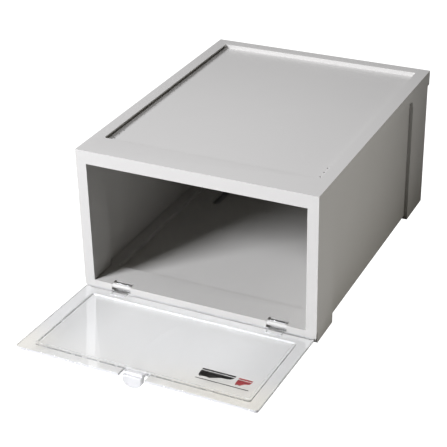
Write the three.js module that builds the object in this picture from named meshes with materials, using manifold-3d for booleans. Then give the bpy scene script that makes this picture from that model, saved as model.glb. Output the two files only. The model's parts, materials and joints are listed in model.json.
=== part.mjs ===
// Drop-front shoe box: five moulded panels that lock together, and a clear door that folds down.
// Millimetres, +Z up. The door opens towards -Y, and the part is modelled with the door lying open.
// Origin: bottom centre of the whole outline, open door included.
import * as THREE from "three";
import { mergeVertices } from "three/addons/utils/BufferGeometryUtils.js";
import Module from "manifold-3d";

// ---- Driving dimensions ----

// The closed box, without the door
const boxWidth = 250;
const boxHeight = 155;
const boxDepth = 317;

// Walls and the play between neighbours
const coverWall = 2.2;
const sideWall = 2.5;
const fitGap = 0.3;

// Top panel
const rimWidth = 12.5;
const frontBand = 34;
const recessDepth = 4.5;
const recessCorner = 2;
const rimLip = 1.2;
const rimOverhang = 2.5;
const skirtHeight = 10;
const topRailHeight = 13.75;
const rearOverhang = 5;
const rearLipHeight = 16;
const holeRadius = 1.1;
const holePitch = 9.6;
const holeCount = 3;
const holeFromRim = 4.5;
const holeFromBand = 12;

// Side panels: a thin web between two proud columns that end in feet
const columnFace = 11;
const webSink = 1.3;
const frontColumnDepth = 41;
const frontReturnDepth = 33.5;
const rearColumnDepth = 50;
const webFootHeight = 3.5;
const sideBandHeight = 2.2;
const recessRound = 9;
const backFlange = 18;
const backRib = 2.4;
const ledgeThickness = 2;
const ledgeReach = 4.7;
const footPad = 2.5;

// Floor panel
const sillTop = 12.3;
const sillFoot = 1.5;
const sillCornerCut = 4;
const floorRimWidth = 12.7;
const slotWidth = 9;
const slotLength = 40;
const slotFromSide = 46.5;
const slotFromRear = 94;

// Hinge: clear clips snapped over two bars in the sill
const barRadius = 2.6;
const clipFromSide = 41;
const clipWidth = 15.3;
const pocketWidth = 21;
const pocketWall = 2.4;
const clipRunning = 0.3;
const clipWall = 1.3;
const clipMouthAngle = 12;
const clipFlange = 8;
const swingClearance = 0.4;

// Door
const doorSideInset = 2.4;
const doorThickness = 2.4;
const doorTopLap = 2.65;
const doorStandOff = 0.7;
const doorFootGap = 3.9;
const doorBorder = 12.5;
const doorStep = 1.6;
const doorStepWall = 2;
const doorCorner = 3;
const openAngle = 87.5;
const doorSlide = 1;
const notchWidth = 27;
const notchDepth = 12;

// Pull tab in the door's upper edge
const tabWidth = 19;
const tabTongue = 4.7;
const tabRound = 7;
const tabNib = 2.2;
const tabFloorGap = 0.2;

// ---- Derived places, in the closed box's own frame: y is 0 at the front face ----

const halfWidth = boxWidth / 2;
const overallRear = boxDepth + rearOverhang;
const recessFloor = boxHeight - recessDepth;
const recessUnderside = recessFloor - coverWall;
const rimUnderside = boxHeight - coverWall;
const skirtFoot = boxHeight - skirtHeight;
const railFoot = boxHeight - topRailHeight;
const recessRear = overallRear - rimWidth;
const recessHalf = halfWidth - rimWidth;
const columnInner = halfWidth - columnFace;
const webOuter = halfWidth - coverWall - fitGap - webSink;
const webInner = webOuter - sideWall;
const columnTop = skirtFoot - fitGap;
const bandFoot = columnTop - sideBandHeight;
const rearColumnFront = boxDepth - rearColumnDepth;
const backRear = boxDepth - sideWall - fitGap;
const backFront = backRear - sideWall;
const floorHalf = webInner - fitGap;
const floorTrayTop = sillTop - recessDepth;
const floorTrayFoot = floorTrayTop - coverWall;
const slotCentreX = halfWidth - slotFromSide;
const slotCentreY = boxDepth - slotFromRear;
const clipCentreX = halfWidth - clipFromSide;
const axisY = barRadius;
const axisZ = sillTop - barRadius;
const doorInner = axisY + doorStandOff;
const doorOuter = doorInner + doorThickness;
const doorTop = railFoot + doorTopLap - axisZ;
const doorHalf = halfWidth - doorSideInset;
const notchFoot = doorTop - notchDepth;
const clipTop = doorFootGap + clipFlange;
const pocketRadius = doorOuter + swingClearance;
const openRadians = THREE.MathUtils.degToRad(openAngle);
const tabFoot = notchFoot + fitGap + tabTongue;
const tabReach =
  (axisZ - tabFloorGap + tabFoot * Math.cos(openRadians)) / Math.sin(openRadians);

// How far a cutting block runs past the part, and how far joined blocks run into each other
const far = 1000;
const bite = 1;

// ---- Materials ----

const casing = new THREE.MeshStandardMaterial({ color: 0xdcdcdd, roughness: 0.5, metalness: 0 });
const clear = new THREE.MeshStandardMaterial({ color: 0xf1f4f6, roughness: 0.06, metalness: 0 });
clear.transparent = true;
clear.opacity = 0.35;

// ---- Solid helpers ----

const wasm = await Module();
wasm.setup();

// A closed three.js geometry as a manifold-3d solid
function solid(geometry) {
  const bare = geometry.clone();
  bare.deleteAttribute("normal");
  bare.deleteAttribute("uv");
  const merged = mergeVertices(bare, 1e-4);
  return new wasm.Manifold(
    new wasm.Mesh({
      numProp: 3,
      vertProperties: new Float32Array(merged.attributes.position.array),
      triVerts: new Uint32Array(merged.index.array),
    }),
  );
}

function geometryOf(body) {
  const mesh = body.getMesh();
  const geometry = new THREE.BufferGeometry();
  geometry.setAttribute("position", new THREE.BufferAttribute(mesh.vertProperties, 3));
  geometry.setIndex(new THREE.BufferAttribute(mesh.triVerts, 1));
  geometry.computeVertexNormals();
  return geometry;
}

const bothSides = (make) => [make(-1), make(1)];
const join = (bodies) => bodies.reduce((all, body) => all.add(body));
const cut = (body, tools) => tools.reduce((left, tool) => left.subtract(tool), body);

// A block between two corners
function block([x0, x1], [y0, y1], [z0, z1]) {
  const geometry = new THREE.BoxGeometry(x1 - x0, y1 - y0, z1 - z0);
  geometry.translate((x0 + x1) / 2, (y0 + y1) / 2, (z0 + z1) / 2);
  return solid(geometry);
}

// A block that is symmetric about x = 0
const wide = (half, y, z) => block([-half, half], y, z);

// A block on one side of the box: x runs from inner to outer, and side is 1 for right, -1 for left
const onSide = (side, [inner, outer], y, z) =>
  block(side > 0 ? [inner, outer] : [-outer, -inner], y, z);

// An outline drawn in a plane and carried along the third axis, from one place to another
function prism(shape, from, to, basis, segments = 10) {
  const geometry = new THREE.ExtrudeGeometry(shape, {
    depth: to - from,
    bevelEnabled: false,
    curveSegments: segments,
  });
  geometry.translate(0, 0, from);
  geometry.applyMatrix4(new THREE.Matrix4().makeBasis(...basis));
  return solid(geometry);
}

const axisOf = (x, y, z) => new THREE.Vector3(x, y, z);

// Outline (y, z), carried along +X
const alongX = (shape, from, to, segments) =>
  prism(shape, from, to, [axisOf(0, 1, 0), axisOf(0, 0, 1), axisOf(1, 0, 0)], segments);

// Outline (x, z), carried along -Y, so that from and to are distances in front of y = 0
const forwards = (shape, from, to, segments) =>
  prism(shape, from, to, [axisOf(1, 0, 0), axisOf(0, 0, 1), axisOf(0, -1, 0)], segments);

// Outline (x, y), carried along +Z
const upwards = (shape, from, to, segments) =>
  prism(shape, from, to, [axisOf(1, 0, 0), axisOf(0, 1, 0), axisOf(0, 0, 1)], segments);

// A rectangle with rounded corners
function roundedRectangle([u0, u1], [v0, v1], radius) {
  const shape = new THREE.Shape();
  shape.moveTo(u0 + radius, v0);
  shape.lineTo(u1 - radius, v0);
  shape.absarc(u1 - radius, v0 + radius, radius, -Math.PI / 2, 0, false);
  shape.lineTo(u1, v1 - radius);
  shape.absarc(u1 - radius, v1 - radius, radius, 0, Math.PI / 2, false);
  shape.lineTo(u0 + radius, v1);
  shape.absarc(u0 + radius, v1 - radius, radius, Math.PI / 2, Math.PI, false);
  shape.lineTo(u0, v0 + radius);
  shape.absarc(u0 + radius, v0 + radius, radius, Math.PI, 1.5 * Math.PI, false);
  return shape;
}

function disc(u, v, radius) {
  const shape = new THREE.Shape();
  shape.absarc(u, v, radius, 0, 2 * Math.PI, false);
  return shape;
}

function polygon(points) {
  return new THREE.Shape(points.map(([u, v]) => new THREE.Vector2(u, v)));
}

// ---- Panels of the casing ----

// The lid of the box: a tray turned up at its rim, with a skirt that drops over the other panels.
// The rim overhangs the tray along both sides.
function topPanel() {
  const body = join([
    wide(halfWidth, [0, overallRear], [skirtFoot, boxHeight]),
    wide(columnInner - fitGap, [0, coverWall], [railFoot, skirtFoot]),
    wide(halfWidth, [boxDepth + fitGap, overallRear], [boxHeight - rearLipHeight, skirtFoot]),
  ]);
  const recess = upwards(
    roundedRectangle([-recessHalf, recessHalf], [frontBand, recessRear], recessCorner),
    recessFloor,
    boxHeight + far,
    4,
  );
  const underLips = wide(
    recessHalf + rimOverhang,
    [frontBand + recessCorner, recessRear - recessCorner],
    [recessFloor, boxHeight - rimLip],
  );
  const underTray = wide(
    halfWidth - coverWall,
    [coverWall, overallRear - coverWall],
    [-far, recessUnderside],
  );
  const underRim = wide(
    halfWidth - coverWall,
    [coverWall, overallRear - coverWall],
    [-far, rimUnderside],
  );
  const trayWalls = wide(
    recessHalf + rimOverhang + coverWall,
    [frontBand - coverWall, recessRear + coverWall],
    [-far, far],
  );
  return cut(body, [recess, underLips, underTray, underRim.subtract(trayWalls), ...cornerHoles()]);
}

// Two rows of small holes through the recessed tray, one behind each front corner
function cornerHoles() {
  const holes = [];
  for (const side of [-1, 1]) {
    for (let i = 0; i < holeCount; i++) {
      const x = side * (recessHalf - holeFromRim);
      const y = frontBand + holeFromBand + i * holePitch;
      holes.push(upwards(disc(x, y, holeRadius), recessUnderside - coverWall, boxHeight, 5));
    }
  }
  return holes;
}

// One side: a hollow front column, a thin web, a ledge under the floor's rim, and a rear column
// whose rib and flange trap the back panel.
function sidePanel(side) {
  const at = (x, y, z) => onSide(side, x, y, z);
  const rearFlangeY = [boxDepth - sideWall, boxDepth];
  const backRibY = [backFront - fitGap - backRib, backFront - fitGap];
  const ledgeTop = sillTop - coverWall - fitGap;
  const frontFit = coverWall + fitGap;
  const ledgeZ = [ledgeTop - ledgeThickness, ledgeTop];
  const body = join([
    at([columnInner, halfWidth], [0, frontReturnDepth], [0, columnTop]),
    at([columnInner, webOuter], [frontFit, frontReturnDepth], [0, recessUnderside - fitGap]),
    at([webInner, halfWidth], [frontReturnDepth - bite, frontColumnDepth], [0, columnTop]),
    at([webInner, webOuter], [frontReturnDepth - bite, boxDepth], [webFootHeight, columnTop]),
    at([webInner, webOuter], [frontFit, backRear], [columnTop - bite, rimUnderside - fitGap]),
    at([webInner, halfWidth], [frontColumnDepth - bite, boxDepth], [bandFoot, columnTop]),
    at([webInner, halfWidth], [rearColumnFront, boxDepth], [0, columnTop]),
    at([halfWidth - backFlange, halfWidth], rearFlangeY, [0, columnTop]),
    at([webInner - backRib, webInner + bite], backRibY, [sillTop + fitGap, recessUnderside - fitGap]),
    at([webInner - ledgeReach, webInner + bite], [frontColumnDepth, backRibY[0]], ledgeZ),
    recessCornerFill(side),
  ]);
  const hollowRear = frontReturnDepth - sideWall;
  const behindFace = at(
    [columnInner + sideWall, halfWidth - sideWall],
    [sideWall, hollowRear],
    [sillTop + fitGap + sideWall, columnTop - sideWall],
  );
  const core = at([columnInner + sideWall, webInner], [frontFit + sideWall, hollowRear], [footPad, far]);
  const behindSill = at([0, far], [-far, frontFit], [-far, sillTop + fitGap]);
  return cut(body, [behindFace, core, behindSill]);
}

// The rounded upper rear corner of the sunken web
function recessCornerFill(side) {
  const y = rearColumnFront;
  const shape = new THREE.Shape();
  shape.moveTo(y + bite, bandFoot + bite);
  shape.lineTo(y - recessRound, bandFoot + bite);
  shape.lineTo(y - recessRound, bandFoot);
  shape.absarc(y - recessRound, bandFoot - recessRound, recessRound, Math.PI / 2, 0, true);
  shape.lineTo(y + bite, bandFoot - recessRound);
  const outer = side * halfWidth;
  const inner = side * webInner;
  return alongX(shape, Math.min(outer, inner), Math.max(outer, inner));
}

// The back wall, a flat sheet that slides down between the rear columns and ends under the tray.
function backPanel() {
  return wide(floorHalf, [backFront, backRear], [sillTop + fitGap, recessUnderside - fitGap]);
}

// The floor: a tray with its rim upwards, and a sill in front that carries the hinge bars.
function floorPanel() {
  const trayRear = backFront - floorRimWidth;
  const body = join([
    wide(columnInner - fitGap, [0, frontBand + bite], [floorTrayFoot, sillTop]),
    wide(floorHalf, [frontReturnDepth + fitGap, backRear], [floorTrayFoot, sillTop]),
    sillFace(),
    ...bothSides(hingeBlock),
  ]);
  const recess = upwards(
    roundedRectangle(
      [floorRimWidth - floorHalf, floorHalf - floorRimWidth], [frontBand, trayRear], recessCorner,
    ),
    floorTrayTop,
    far,
    4,
  );
  const underRim = wide(halfWidth, [coverWall, boxDepth], [-far, sillTop - coverWall]);
  const trayWalls = wide(
    floorHalf - floorRimWidth + coverWall,
    [frontBand - coverWall, trayRear + coverWall],
    [-far, far],
  );
  const channels = cut(underRim, [trayWalls, ...bothSides(hingeBlock)]);
  return cut(body, [recess, channels, ...bothSides(floorSlot), ...bothSides(hingePocket)]);
}

// The visible front of the sill, with its two lower corners cut off
function sillFace() {
  const half = halfWidth - fitGap;
  const outline = polygon([
    [-half, sillTop],
    [-half, sillFoot + sillCornerCut],
    [sillCornerCut - half, sillFoot],
    [half - sillCornerCut, sillFoot],
    [half, sillFoot + sillCornerCut],
    [half, sillTop],
  ]);
  return forwards(outline, -coverWall, 0);
}

function hingeBlock(side) {
  const half = pocketWidth / 2 + pocketWall;
  const centre = side * clipCentreX;
  return block([centre - half, centre + half], [0, axisY + pocketRadius + pocketWall], [sillFoot, sillTop]);
}

// Room for a clip to turn, with the bar left standing across it
function hingePocket(side) {
  const from = side * clipCentreX - pocketWidth / 2;
  const to = side * clipCentreX + pocketWidth / 2;
  const round = alongX(disc(axisY, axisZ, pocketRadius), from, to, 12);
  const inFront = block([from, to], [-far, axisY], [axisZ - pocketRadius, far]);
  const bar = alongX(disc(axisY, axisZ, barRadius), from - bite, to + bite, 10);
  return join([round, inFront]).subtract(bar);
}

// A slot through the tray, with round ends
function floorSlot(side) {
  const x = [side * slotCentreX - slotWidth / 2, side * slotCentreX + slotWidth / 2];
  const y = [slotCentreY - slotLength / 2, slotCentreY + slotLength / 2];
  return upwards(roundedRectangle(x, y, slotWidth / 2), floorTrayFoot - bite, sillTop, 6);
}

// ---- Door pieces, drawn shut, from the hinge axis: y is negative outwards, z is up the door ----

// The clear sheet: a flat border that laps the frame, and a middle that stands out from it
function doorPanel() {
  const middleHalf = doorHalf - doorBorder;
  const middle = [doorFootGap + doorBorder, doorTop - doorBorder];
  const sheet = forwards(
    roundedRectangle([-doorHalf, doorHalf], [doorFootGap, doorTop], doorCorner),
    doorInner,
    doorOuter,
    5,
  );
  const raised = forwards(
    roundedRectangle([-middleHalf, middleHalf], middle, doorCorner),
    doorInner,
    doorOuter + doorStep,
    5,
  );
  const hollow = forwards(
    roundedRectangle(
      [doorStepWall - middleHalf, middleHalf - doorStepWall],
      [middle[0] + doorStepWall, middle[1] - doorStepWall],
      doorCorner - doorStepWall / 2,
    ),
    0,
    doorInner + doorStep,
    5,
  );
  const notchHalf = notchWidth / 2;
  const notch = block([-notchHalf, notchHalf], [-far, far], [notchFoot, far]);
  return cut(join([sheet, raised]), [hollow, notch, ...bothSides(clipNotch)]);
}

// The notch in the door's lower edge that a clip's flange fits
function clipNotch(side) {
  const half = clipWidth / 2 + fitGap;
  const centre = side * clipCentreX;
  return block([centre - half, centre + half], [-far, far], [-far, clipTop + fitGap]);
}

// A clip: a flange let into the door's lower edge, and a hook that goes round the bar from below
function hingeClip(side) {
  const inner = barRadius + clipRunning;
  const outer = inner + clipWall;
  const mouth = THREE.MathUtils.degToRad(clipMouthAngle);
  const lip = (outer - inner) / 2;
  const middle = (outer + inner) / 2;
  const hook = new THREE.Shape();
  hook.moveTo(-outer, 0);
  hook.absarc(0, 0, outer, Math.PI, mouth + 2 * Math.PI, false);
  hook.absarc(middle * Math.cos(mouth), middle * Math.sin(mouth), lip, mouth, mouth + Math.PI, false);
  hook.absarc(0, 0, inner, mouth + 2 * Math.PI, Math.PI, true);
  const from = side * clipCentreX - clipWidth / 2;
  const to = side * clipCentreX + clipWidth / 2;
  const flange = block([from, to], [-doorOuter, -doorInner], [-lip, clipTop]);
  return join([alongX(hook, from, to, 20), flange]);
}

// The D-shaped pull: a tongue in the door's notch, a grip that stands out in front,
// and a nib behind it that wedges under the top rail
function pullTab() {
  const half = tabWidth / 2;
  const outline = new THREE.Shape();
  outline.moveTo(-half, -doorInner);
  outline.lineTo(-half, tabRound - tabReach);
  outline.absellipse(0, tabRound - tabReach, half, tabRound, Math.PI, 2 * Math.PI, false);
  outline.lineTo(half, -doorInner);
  const nibTop = railFoot - axisZ - fitGap;
  return join([
    upwards(outline, tabFoot, doorTop, 12),
    wide(half, [-doorOuter, -doorInner], [notchFoot + fitGap, tabFoot + bite]),
    wide(half, [-doorInner - bite, tabNib - doorInner], [tabFoot, nibTop]),
  ]);
}

// ---- Assembly ----

function named(name, body, material) {
  const mesh = new THREE.Mesh(geometryOf(body), material);
  mesh.name = name;
  return mesh;
}

// The door lies slid a little to the right, within its clips' play in the pockets
const door = new THREE.Group();
door.add(
  named("door_panel", doorPanel(), clear),
  named("left_hinge_clip", hingeClip(-1), clear),
  named("right_hinge_clip", hingeClip(1), clear),
  named("pull_tab", pullTab(), clear),
);
door.position.set(doorSlide, axisY, axisZ);
door.rotation.x = openRadians;

const shoeBox = new THREE.Group();
shoeBox.add(
  named("top_panel", topPanel(), casing),
  named("floor_panel", floorPanel(), casing),
  named("left_side_panel", sidePanel(-1), casing),
  named("right_side_panel", sidePanel(1), casing),
  named("back_panel", backPanel(), casing),
  door,
);

// Centre the whole outline on the origin, from the open door's foremost edge to the rear lip
const lowered = (out, up) => up * Math.sin(openRadians) + out * Math.cos(openRadians);
const doorReach = Math.max(lowered(doorOuter, doorTop), lowered(tabReach, doorTop)) - axisY;
shoeBox.position.y = (doorReach - overallRear) / 2;

export default shoeBox;
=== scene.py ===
# A stackable shoe box with a clear drop-front door: its look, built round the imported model.
# Metres, +Z up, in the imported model's frame. The door opens towards -Y and lies open at rest.
import json
import math

import bmesh
import bpy
import numpy as np
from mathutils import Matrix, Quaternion, Vector


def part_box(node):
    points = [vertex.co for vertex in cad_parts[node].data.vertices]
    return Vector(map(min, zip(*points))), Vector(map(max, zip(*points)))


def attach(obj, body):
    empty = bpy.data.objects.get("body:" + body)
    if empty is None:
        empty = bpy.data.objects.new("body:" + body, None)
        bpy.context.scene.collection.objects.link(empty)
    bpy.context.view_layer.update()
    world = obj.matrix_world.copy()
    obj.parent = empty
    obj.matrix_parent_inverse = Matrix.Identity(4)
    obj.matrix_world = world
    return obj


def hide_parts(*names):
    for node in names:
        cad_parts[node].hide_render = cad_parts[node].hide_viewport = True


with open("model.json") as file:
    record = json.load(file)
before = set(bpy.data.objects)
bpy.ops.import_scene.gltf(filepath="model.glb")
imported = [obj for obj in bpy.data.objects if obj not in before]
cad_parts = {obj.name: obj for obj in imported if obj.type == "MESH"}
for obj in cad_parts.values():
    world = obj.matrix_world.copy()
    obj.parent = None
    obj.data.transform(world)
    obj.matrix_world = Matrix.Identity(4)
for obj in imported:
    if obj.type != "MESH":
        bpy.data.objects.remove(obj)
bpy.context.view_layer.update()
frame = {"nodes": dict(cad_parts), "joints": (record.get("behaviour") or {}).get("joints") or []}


# ---- Camera ----
# A long lens, about 1.3 m from the box, in front of its right corner and looking down on it.

camera = bpy.data.objects.new("camera", bpy.data.cameras.new("camera"))
bpy.context.scene.collection.objects.link(camera)
bpy.context.scene.camera = camera
camera.data.sensor_width = 36
camera.data.lens = 102.8
camera.location = (0.4850, -1.0252, 0.6721)
camera_aim = Vector((-0.0078, -0.0157, 0.0600))
camera_roll = Quaternion((0, 0, 1), math.radians(-1.19))
camera.rotation_mode = "QUATERNION"
camera.rotation_quaternion = (camera_aim - camera.location).to_track_quat("-Z", "Y") @ camera_roll


# ---- Top moulding ----
# The lid of the box, injection moulded in light grey polypropylene with a fine satin texture. Its
# rim stands up round a sunken tray, and its skirt drops over the four panels below. Every arris has
# the small radius that the tool leaves.

mm = 0.001


class Value:
    """A shader socket with operators: each adds one Math node and gives its result."""

    def __init__(self, finish, socket):
        self.finish = finish
        self.socket = socket

    def _math(self, operation, first, second=0.0):
        settings = {"operation": operation}
        return self.finish.node("ShaderNodeMath", settings, {0: first, 1: second})

    def __add__(self, other):
        return self._math("ADD", self, other)

    def __radd__(self, other):
        return self._math("ADD", other, self)

    def __mul__(self, other):
        return self._math("MULTIPLY", self, other)

    def __rmul__(self, other):
        return self._math("MULTIPLY", other, self)

    def __abs__(self):
        return self._math("ABSOLUTE", self)

    def __gt__(self, other):
        return self._math("GREATER_THAN", self, other)

    def __lt__(self, other):
        return self._math("LESS_THAN", self, other)

    def __or__(self, other):
        return self._math("MAXIMUM", self, other)


class Finish:
    """A material in the making: its Principled shader, and one method that adds any other node."""

    def __init__(self, name, **constants):
        self.material = bpy.data.materials.new(name)
        self.material.use_nodes = True
        self.tree = self.material.node_tree
        self.shader = self.tree.nodes["Principled BSDF"]
        for socket, value in constants.items():
            self.shader.inputs[socket.replace("_", " ")].default_value = value
        self.place = self.node("ShaderNodeTexCoord", {}, {}, "Object")

    def node(self, kind, settings, inputs, output=0):
        """Adds a node of that kind, sets it, feeds its inputs, and gives one of its outputs."""
        node = self.tree.nodes.new(kind)
        for name, value in settings.items():
            setattr(node, name, value)
        for socket, value in inputs.items():
            self.feed(node.inputs[socket], value)
        return Value(self, node.outputs[output])

    def feed(self, socket, value):
        """Gives a socket a link or a constant. A name stands for that Principled socket."""
        if isinstance(socket, str):
            socket = self.shader.inputs[socket]
        if isinstance(value, Value):
            self.tree.links.new(value.socket, socket)
        else:
            socket.default_value = value

    def along(self, axis):
        """The place on one axis, in metres."""
        return self.node("ShaderNodeSeparateXYZ", {}, {0: self.place}, axis)

    def noise(self, size, detail=2.0):
        """Cloudy values about 0.5, with features about size metres across."""
        inputs = {"Vector": self.place, "Scale": 1 / size, "Detail": detail}
        return self.node("ShaderNodeTexNoise", {}, inputs)

    def rise(self, value, start, end, full=1.0):
        """0 where value is at start, full where it is at end, and a smooth S between them."""
        settings = {"clamp": True, "interpolation_type": "SMOOTHSTEP"}
        inputs = {0: value, 1: start, 2: end, 3: 0.0, 4: full}
        return self.node("ShaderNodeMapRange", settings, inputs)

    def colour(self, factor, first, second):
        """A colour that goes from first to second as factor goes from 0 to 1."""
        first, second = [c if isinstance(c, Value) else (*c, 1) for c in (first, second)]
        inputs = {0: factor, 6: first, 7: second}
        return self.node("ShaderNodeMix", {"data_type": "RGBA"}, inputs, 2)

    def bump(self, height, depth, under=None):
        """A normal tilted by height, whose full swing is depth metres."""
        inputs = {"Height": height, "Strength": 1.0, "Distance": depth}
        if under:
            inputs["Normal"] = under
        return self.node("ShaderNodeBump", {}, inputs)


casing_finish = Finish("casing_plastic", IOR=1.49, Specular_IOR_Level=0.5)
casing_cloud = casing_finish.noise(60 * mm)
casing_grain = casing_finish.noise(0.35 * mm, detail=1.0)
casing_waves = casing_finish.bump(casing_cloud, 0.05 * mm)
casing_finish.feed(
    "Base Color", casing_finish.colour(casing_cloud, (0.545, 0.537, 0.514), (0.525, 0.517, 0.495))
)
casing_finish.feed("Roughness", 0.40 + 0.10 * casing_cloud + 0.04 * casing_grain)
casing_finish.feed("Normal", casing_finish.bump(casing_grain, 0.012 * mm, casing_waves))


def region(x_ends, y_ends, z_ends):
    """The low and high corners of a box, from its two ends on each axis."""
    return tuple(Vector(corner) for corner in zip(x_ends, y_ends, z_ends))


def inside(point, low, high):
    """Whether a point lies between two corners."""
    return all(low[i] < point[i] < high[i] for i in range(3))


def moulding(name, node, radius, drawn_to=(), other_radii=()):
    """A CAD node's own skin, welded and rounded: an edge sharper than 25 degrees gets a round of
    that radius, unless it is too short to hold one. drawn_to holds (axis, place, new place, low
    corner, high corner): what lies at that place on the axis, between the corners, moves to the new
    place, and the edges there stay sharp, as at a tight joint. other_radii holds (radius, low
    corner, high corner): the edges between those corners get that radius instead."""
    weld_distance = 0.002 * mm
    flat_angle = math.radians(0.5)
    sharp_angle = math.radians(25)
    same_place = 0.05 * mm
    shortest_rounded = 0.72 * mm
    mesh = bpy.data.meshes.new(name)
    body = bmesh.new()
    body.from_mesh(frame["nodes"][node].data)
    bmesh.ops.remove_doubles(body, verts=body.verts, dist=weld_distance)
    bmesh.ops.dissolve_limit(body, angle_limit=flat_angle, verts=body.verts, edges=body.edges)
    joints = []
    for axis, place, new_place, low, high in drawn_to:
        met = [
            v
            for v in body.verts
            if abs(v.co[axis] - place) < same_place and inside(v.co, low, high)
        ]
        for v in met:
            v.co[axis] = new_place
        joints.append(set(met))
    weight = body.edges.layers.float.new("bevel_weight_edge")
    largest = max([radius] + [other[0] for other in other_radii])
    for edge in body.edges:
        first, second = edge.verts
        sharp = edge.calc_face_angle(0) > sharp_angle
        at_joint = any(first in met and second in met for met in joints)
        rounded = sharp and not at_joint and edge.calc_length() > shortest_rounded
        own_radius = radius
        for other_radius, low, high in other_radii:
            if inside(first.co, low, high) and inside(second.co, low, high):
                own_radius = other_radius
        edge[weight] = own_radius / largest if rounded else 0.0
        edge.smooth = rounded or not sharp
    for face in body.faces:
        face.smooth = True
    body.to_mesh(mesh)
    body.free()
    piece = bpy.data.objects.new(name, mesh)
    bpy.context.scene.collection.objects.link(piece)
    rounding = piece.modifiers.new("rounding", "BEVEL")
    rounding.limit_method = "WEIGHT"
    rounding.width = largest
    rounding.segments = 3
    evening = piece.modifiers.new("evening", "WEIGHTED_NORMAL")
    evening.keep_sharp = True
    evening.weight = 100
    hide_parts(node)
    return piece


box_low, box_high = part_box("top_panel")
rim_top = box_high.z
tray_front = box_low.y + 34 * mm
tray_rear = box_high.y - 12.5 * mm
tray_half = 112.5 * mm
skirt_foot = 145 * mm
rail_end = 113.7 * mm
joint_drawn = 0.28 * mm
everywhere = (-1, 1)
anywhere = region(everywhere, everywhere, everywhere)
rail_ends = region(everywhere, (-1, box_low.y + 2.6 * mm), (140 * mm, 145.5 * mm))
front_arris = region(everywhere, (box_low.y - mm, box_low.y + mm), (rim_top - mm, rim_top + mm))
tray_arrises = region(
    (-tray_half - 0.5 * mm, tray_half + 0.5 * mm),
    (tray_front, tray_rear),
    (rim_top - 0.5 * mm, rim_top + mm),
)
tray_front_arris = region(
    everywhere, (tray_front - mm, tray_front + mm), (rim_top - 0.5 * mm, rim_top + mm)
)
tray_rear_wall = region(
    everywhere, (tray_rear - mm, tray_rear + mm), (rim_top - 5 * mm, rim_top + mm)
)
under_lips = region(everywhere, (tray_front, tray_rear), (rim_top - 1.5 * mm, rim_top - mm))
top_moulding = moulding(
    "top_moulding",
    "top_panel",
    radius=0.7 * mm,
    drawn_to=[
        (2, skirt_foot, skirt_foot - joint_drawn, *anywhere),
        (0, rail_end, rail_end + joint_drawn, *rail_ends),
        (0, -rail_end, -rail_end - joint_drawn, *rail_ends),
    ],
    other_radii=[
        (0.9 * mm, *front_arris),
        (1.0 * mm, *tray_arrises),
        (1.8 * mm, *tray_front_arris),
        (1.7 * mm, *tray_rear_wall),
        (0.15 * mm, *under_lips),
    ],
)
top_moulding.data.materials.append(casing_finish.material)
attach(top_moulding, "casing")


# ---- Side mouldings ----
# Each side is one moulding in the same plastic as the lid: two hollow columns that end in feet, and
# a thin web sunk between them.

side_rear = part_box("right_side_panel")[1].y
column_top = 144.7 * mm
column_step = 12.6 * mm
column_rear = box_low.y + 41 * mm
by_the_sill = region(everywhere, (-1, box_low.y + 2.6 * mm), (0, 20 * mm))
column_rear_arris = region(everywhere, (column_rear - mm, column_rear + mm), (-mm, 143 * mm))
for side in ("left", "right"):
    piece = moulding(
        side + "_side_moulding",
        side + "_side_panel",
        radius=0.7 * mm,
        drawn_to=[
            (2, column_top, column_top, *anywhere),
            (2, column_step, column_step - joint_drawn, *by_the_sill),
        ],
        other_radii=[(1.6 * mm, *column_rear_arris)],
    )
    piece.data.materials.append(casing_finish.material)
    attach(piece, "casing")


# ---- Back and floor mouldings ----
# The back is a flat sheet. The floor is a shallow tray whose front edge is the sill that carries
# the two hinge bars. Both are moulded in the same plastic as the lid.

for name, node, radius in (
    ("back_moulding", "back_panel", 0.3 * mm),
    ("floor_moulding", "floor_panel", 0.5 * mm),
):
    piece = moulding(name, node, radius)
    piece.data.materials.append(casing_finish.material)
    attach(piece, "casing")


# ---- Door ----
# One clear sheet of polystyrene with a flat border and a middle that stands out from it, two clips
# let into its lower edge, and a pull in its upper edge. The flat faces are polished. The edges and
# the pull are slightly frosted.

clear_finish = Finish("clear_plastic", Transmission_Weight=1.0, IOR=1.5, Roughness=0.02)
clear_waves = clear_finish.noise(35 * mm)
clear_finish.feed("Normal", clear_finish.bump(clear_waves, 0.05 * mm))
door_x = clear_finish.along("X")
# The sheet's faint grey tint is painted darker towards its left and right edges: painted shade, not
# a tint of the plastic.
to_side = clear_finish.rise(abs(door_x), 0.05, 0.112)
to_right = clear_finish.rise(door_x, -0.02, 0.09, full=0.75)
to_left = clear_finish.rise(door_x, -0.085, -0.12, full=0.75)
to_free_edge = clear_finish.rise(clear_finish.along("Y"), -0.165, -0.222)
tint_with_painted_side_shade = clear_finish.colour(to_side, (0.945, 0.948, 0.955), (0.842, 0.845, 0.851))
yellowing = to_free_edge * (0.2 + to_right + to_left)
clear_finish.feed("Base Color", clear_finish.colour(yellowing, tint_with_painted_side_shade, (0.935, 0.913, 0.862)))


def frosted(name, cloud_size, light, dark, smooth, spread, **constants):
    """A frosted clear plastic. As a cloud of that size goes from 0 to 1, its grey goes from light
    to dark and its roughness from smooth to smooth + spread."""
    finish = Finish(name, **constants)
    cloud = finish.noise(cloud_size)
    finish.feed("Roughness", smooth + spread * cloud)
    finish.feed("Base Color", finish.colour(cloud, [light] * 3, [dark] * 3))
    return finish


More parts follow.
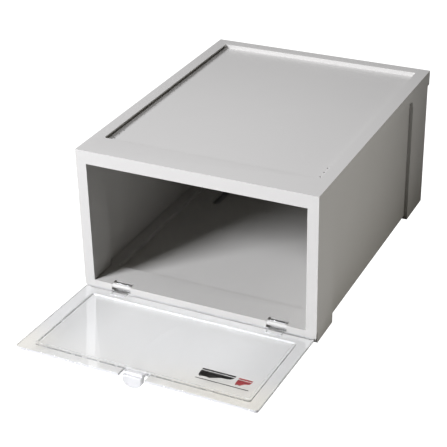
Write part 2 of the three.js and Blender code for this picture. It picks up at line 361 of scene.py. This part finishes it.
edge_finish = frosted(
    "clear_plastic_edge", 6 * mm, 0.97, 0.92, 0.20, 0.12, Transmission_Weight=0.4, IOR=1.5
)
pull_finish = frosted(
    "clear_plastic_pull", 5 * mm, 0.89, 0.85, 0.10, 0.10, Transmission_Weight=0.75, IOR=1.45
)
pull_edge_finish = frosted(
    "clear_plastic_pull_edge", 5 * mm, 0.86, 0.78, 0.20, 0.10, Transmission_Weight=0.5, IOR=1.45
)
edge_slope = 0.5
for name, node, radius, face_finish, rim_finish in (
    ("door_sheet", "door_panel", 0.4 * mm, clear_finish, edge_finish),
    ("left_clip", "left_hinge_clip", 0.3 * mm, clear_finish, edge_finish),
    ("right_clip", "right_hinge_clip", 0.3 * mm, clear_finish, edge_finish),
    ("door_pull", "pull_tab", 0.8 * mm, pull_finish, pull_edge_finish),
):
    piece = moulding(name, node, radius)
    piece.data.materials.append(face_finish.material)
    piece.data.materials.append(rim_finish.material)
    for face in piece.data.polygons:
        face.material_index = int(abs(face.normal.z) < edge_slope)
    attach(piece, "door")


# ---- Print ----
# A mark printed on the outer face of the door, near its free edge: a dark shoe and a small red shoe
# under a thin line. It is ink, a few hundredths of a millimetre thick.

hinge = frame["joints"][0]
hinge_place = Vector(hinge["pos_m"])
door_swing = math.radians(87.5)
laid_open = Quaternion(Vector(hinge["axis"]), -door_swing)
print_face = -7.33 * mm


def film(name, across, up, finish):
    """A thin film of ink on the door's outer face. across and up are grids of places on the shut
    door, from the middle and from the hinge axis. The grid is turned open about the axis, and gets
    its thickness."""
    rows, columns = across.shape
    shut = np.stack([across, np.full_like(across, print_face), up], axis=-1).reshape(-1, 3)
    places = shut @ np.array(laid_open.to_matrix()).T + np.array(hinge_place)
    index = np.arange(rows * columns).reshape(rows, columns)
    corners = [index[:-1, :-1], index[:-1, 1:], index[1:, 1:], index[1:, :-1]]
    quads = np.stack(corners, axis=-1).reshape(-1, 4)
    mesh = bpy.data.meshes.new(name)
    mesh.from_pydata(places.tolist(), [], quads.tolist())
    mesh.materials.append(finish.material)
    piece = bpy.data.objects.new(name, mesh)
    bpy.context.scene.collection.objects.link(piece)
    thickness = piece.modifiers.new("thickness", "SOLIDIFY")
    thickness.thickness = 0.04 * mm
    thickness.offset = 0
    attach(piece, "door")


def shoe(length, height):
    """A shoe from the side, as two grids. run goes from heel to toe, closer at both ends. The upper
    goes from a quarter of the height to its outline there, which is high at the collar, falls along
    the laces and rounds off at the toe. The sole is a band below it, with a thin gap between."""
    rows, columns = 9, 49
    upper_foot = 0.25
    sole_top = 0.17
    outline_run = [0.0, 0.02, 0.07, 0.16, 0.27, 0.36, 0.50, 0.64, 0.80, 0.91, 0.97, 1.0]
    outline_height = [0.40, 0.86, 1.00, 0.93, 0.90, 0.98, 0.80, 0.64, 0.60, 0.54, 0.42, 0.27]
    run = 0.5 - 0.5 * np.cos(np.linspace(0, math.pi, columns))
    outline = np.interp(run, outline_run, outline_height)
    share = np.linspace(0, 1, rows)[:, None]
    across = np.broadcast_to(length * run, (rows, columns))
    upper = height * (upper_foot + share * (outline - upper_foot))
    sole = height * share * np.full_like(outline, sole_top)
    return across, upper, sole


def ink(name, first, second):
    """Ink whose colour goes from first to second in small clouds."""
    finish = Finish(name, Roughness=0.45)
    finish.feed("Base Color", finish.colour(finish.noise(1.2 * mm), first, second))
    return finish


dark_ink = ink("dark_ink", (0.012, 0.012, 0.012), (0.03, 0.03, 0.03))
red_ink = ink("red_ink", (0.50, 0.06, 0.075), (0.58, 0.10, 0.11))
for colour_name, heel, ground, length, height, shoe_ink in (
    ("dark", 50 * mm, 89.5 * mm, 33 * mm, 13 * mm, dark_ink),
    ("red", 86.5 * mm, 90.5 * mm, 13.5 * mm, 12 * mm, red_ink),
):
    across, upper, sole = shoe(length, height)
    film("printed_" + colour_name + "_upper", heel + across, ground + upper, shoe_ink)
    film("printed_" + colour_name + "_sole", heel + across, ground + sole, shoe_ink)
line_run = np.linspace(50 * mm, 102 * mm, 9)
line_rise = np.linspace(105.4 * mm, 106.4 * mm, 2)
line_across, line_up = np.meshgrid(line_run, line_rise)
film("printed_line", line_across, line_up, dark_ink)


# ---- Studio ----
# A plain pale floor that glows white except below the box, a soft key light low on the left, a
# small light overhead, a weak one on the right, and weak warm light from all round.

bpy.context.scene.view_settings.view_transform = "Standard"
bpy.context.scene.view_settings.look = "Medium High Contrast"
floor_half = 12.0
floor_mesh = bpy.data.meshes.new("studio_floor")
floor_mesh.from_pydata(
    [(x * floor_half, y * floor_half, 0) for x, y in ((-1, -1), (1, -1), (1, 1), (-1, 1))],
    [],
    [(0, 1, 2, 3)],
)
studio_floor = bpy.data.objects.new("studio_floor", floor_mesh)
bpy.context.scene.collection.objects.link(studio_floor)
floor_finish = Finish("studio_floor", Base_Color=(0.5, 0.5, 0.495, 1), Roughness=0.9)
seen = floor_finish.node("ShaderNodeLightPath", {}, {}, "Is Camera Ray")
through_door = floor_finish.node("ShaderNodeLightPath", {}, {}, "Is Transmission Ray")
glow_through_door = 0.63
beside = abs(floor_finish.along("X")) > box_high.x - 14 * mm
before = floor_finish.along("Y") < box_low.y + 6 * mm
behind = floor_finish.along("Y") > side_rear
glow_share = (seen + through_door * glow_through_door) * (beside | before | behind)
glow = floor_finish.node("ShaderNodeEmission", {}, {"Color": (1, 1, 1, 1), "Strength": 1.0})
plain = Value(floor_finish, floor_finish.shader.outputs[0])
shared = floor_finish.node("ShaderNodeMixShader", {}, {0: glow_share, 1: plain, 2: glow})
floor_finish.feed(floor_finish.tree.nodes["Material Output"].inputs["Surface"], shared)
floor_mesh.materials.append(floor_finish.material)


def hang(name, lamp, place, aim):
    """Puts a lamp at place, turned towards aim."""
    light = bpy.data.objects.new(name, lamp)
    bpy.context.scene.collection.objects.link(light)
    light.location = place
    light.rotation_mode = "QUATERNION"
    light.rotation_quaternion = (Vector(aim) - Vector(place)).to_track_quat("-Z", "Y")


def softbox(name, place, aim, size, power):
    """A square area light of a cool white."""
    lamp = bpy.data.lights.new(name, "AREA")
    lamp.size = size
    lamp.energy = power
    lamp.color = (0.975, 0.985, 1.04)
    hang(name, lamp, place, aim)


key_turn = math.radians(34)
key_height = math.radians(32)
key_way = Vector(
    (
        -math.sin(key_turn) * math.cos(key_height),
        -math.cos(key_turn) * math.cos(key_height),
        math.sin(key_height),
    )
)
key_distance = 3.0
softbox("key_light", key_distance * key_way, aim=(0, 0, 0.05), size=0.95, power=118)
softbox("overhead_light", (-0.03, -0.02, 0.75), aim=(0, 0, 0.15), size=0.14, power=1.2)
side_lamp = bpy.data.lights.new("side_fill", "SPOT")
side_lamp.energy = 9.3
side_lamp.color = (1.0, 0.98, 0.94)
side_lamp.shadow_soft_size = 0.08
side_lamp.spot_size = math.radians(84)
side_lamp.spot_blend = 1.0
hang("side_fill", side_lamp, (0.90, 0.25, 0.15), aim=(0.125, -0.28, 0.12))

world = bpy.data.worlds.new("studio")
bpy.context.scene.world = world
world.use_nodes = True
world_nodes = world.node_tree.nodes
ambient = world_nodes["Background"]
ambient.inputs["Color"].default_value = (1.0, 0.90, 0.76, 1)
ambient.inputs["Strength"].default_value = 0.05
round_the_door = world_nodes.new("ShaderNodeBackground")
round_the_door.inputs["Color"].default_value = (1, 1, 1, 1)
round_the_door.inputs["Strength"].default_value = 0.75
ray = world_nodes.new("ShaderNodeLightPath")
surroundings = world_nodes.new("ShaderNodeMixShader")
for output, socket in (
    (ray.outputs["Is Transmission Ray"], surroundings.inputs[0]),
    (ambient.outputs[0], surroundings.inputs[1]),
    (round_the_door.outputs[0], surroundings.inputs[2]),
    (surroundings.outputs[0], world_nodes["World Output"].inputs["Surface"]),
):
    world.node_tree.links.new(output, socket)
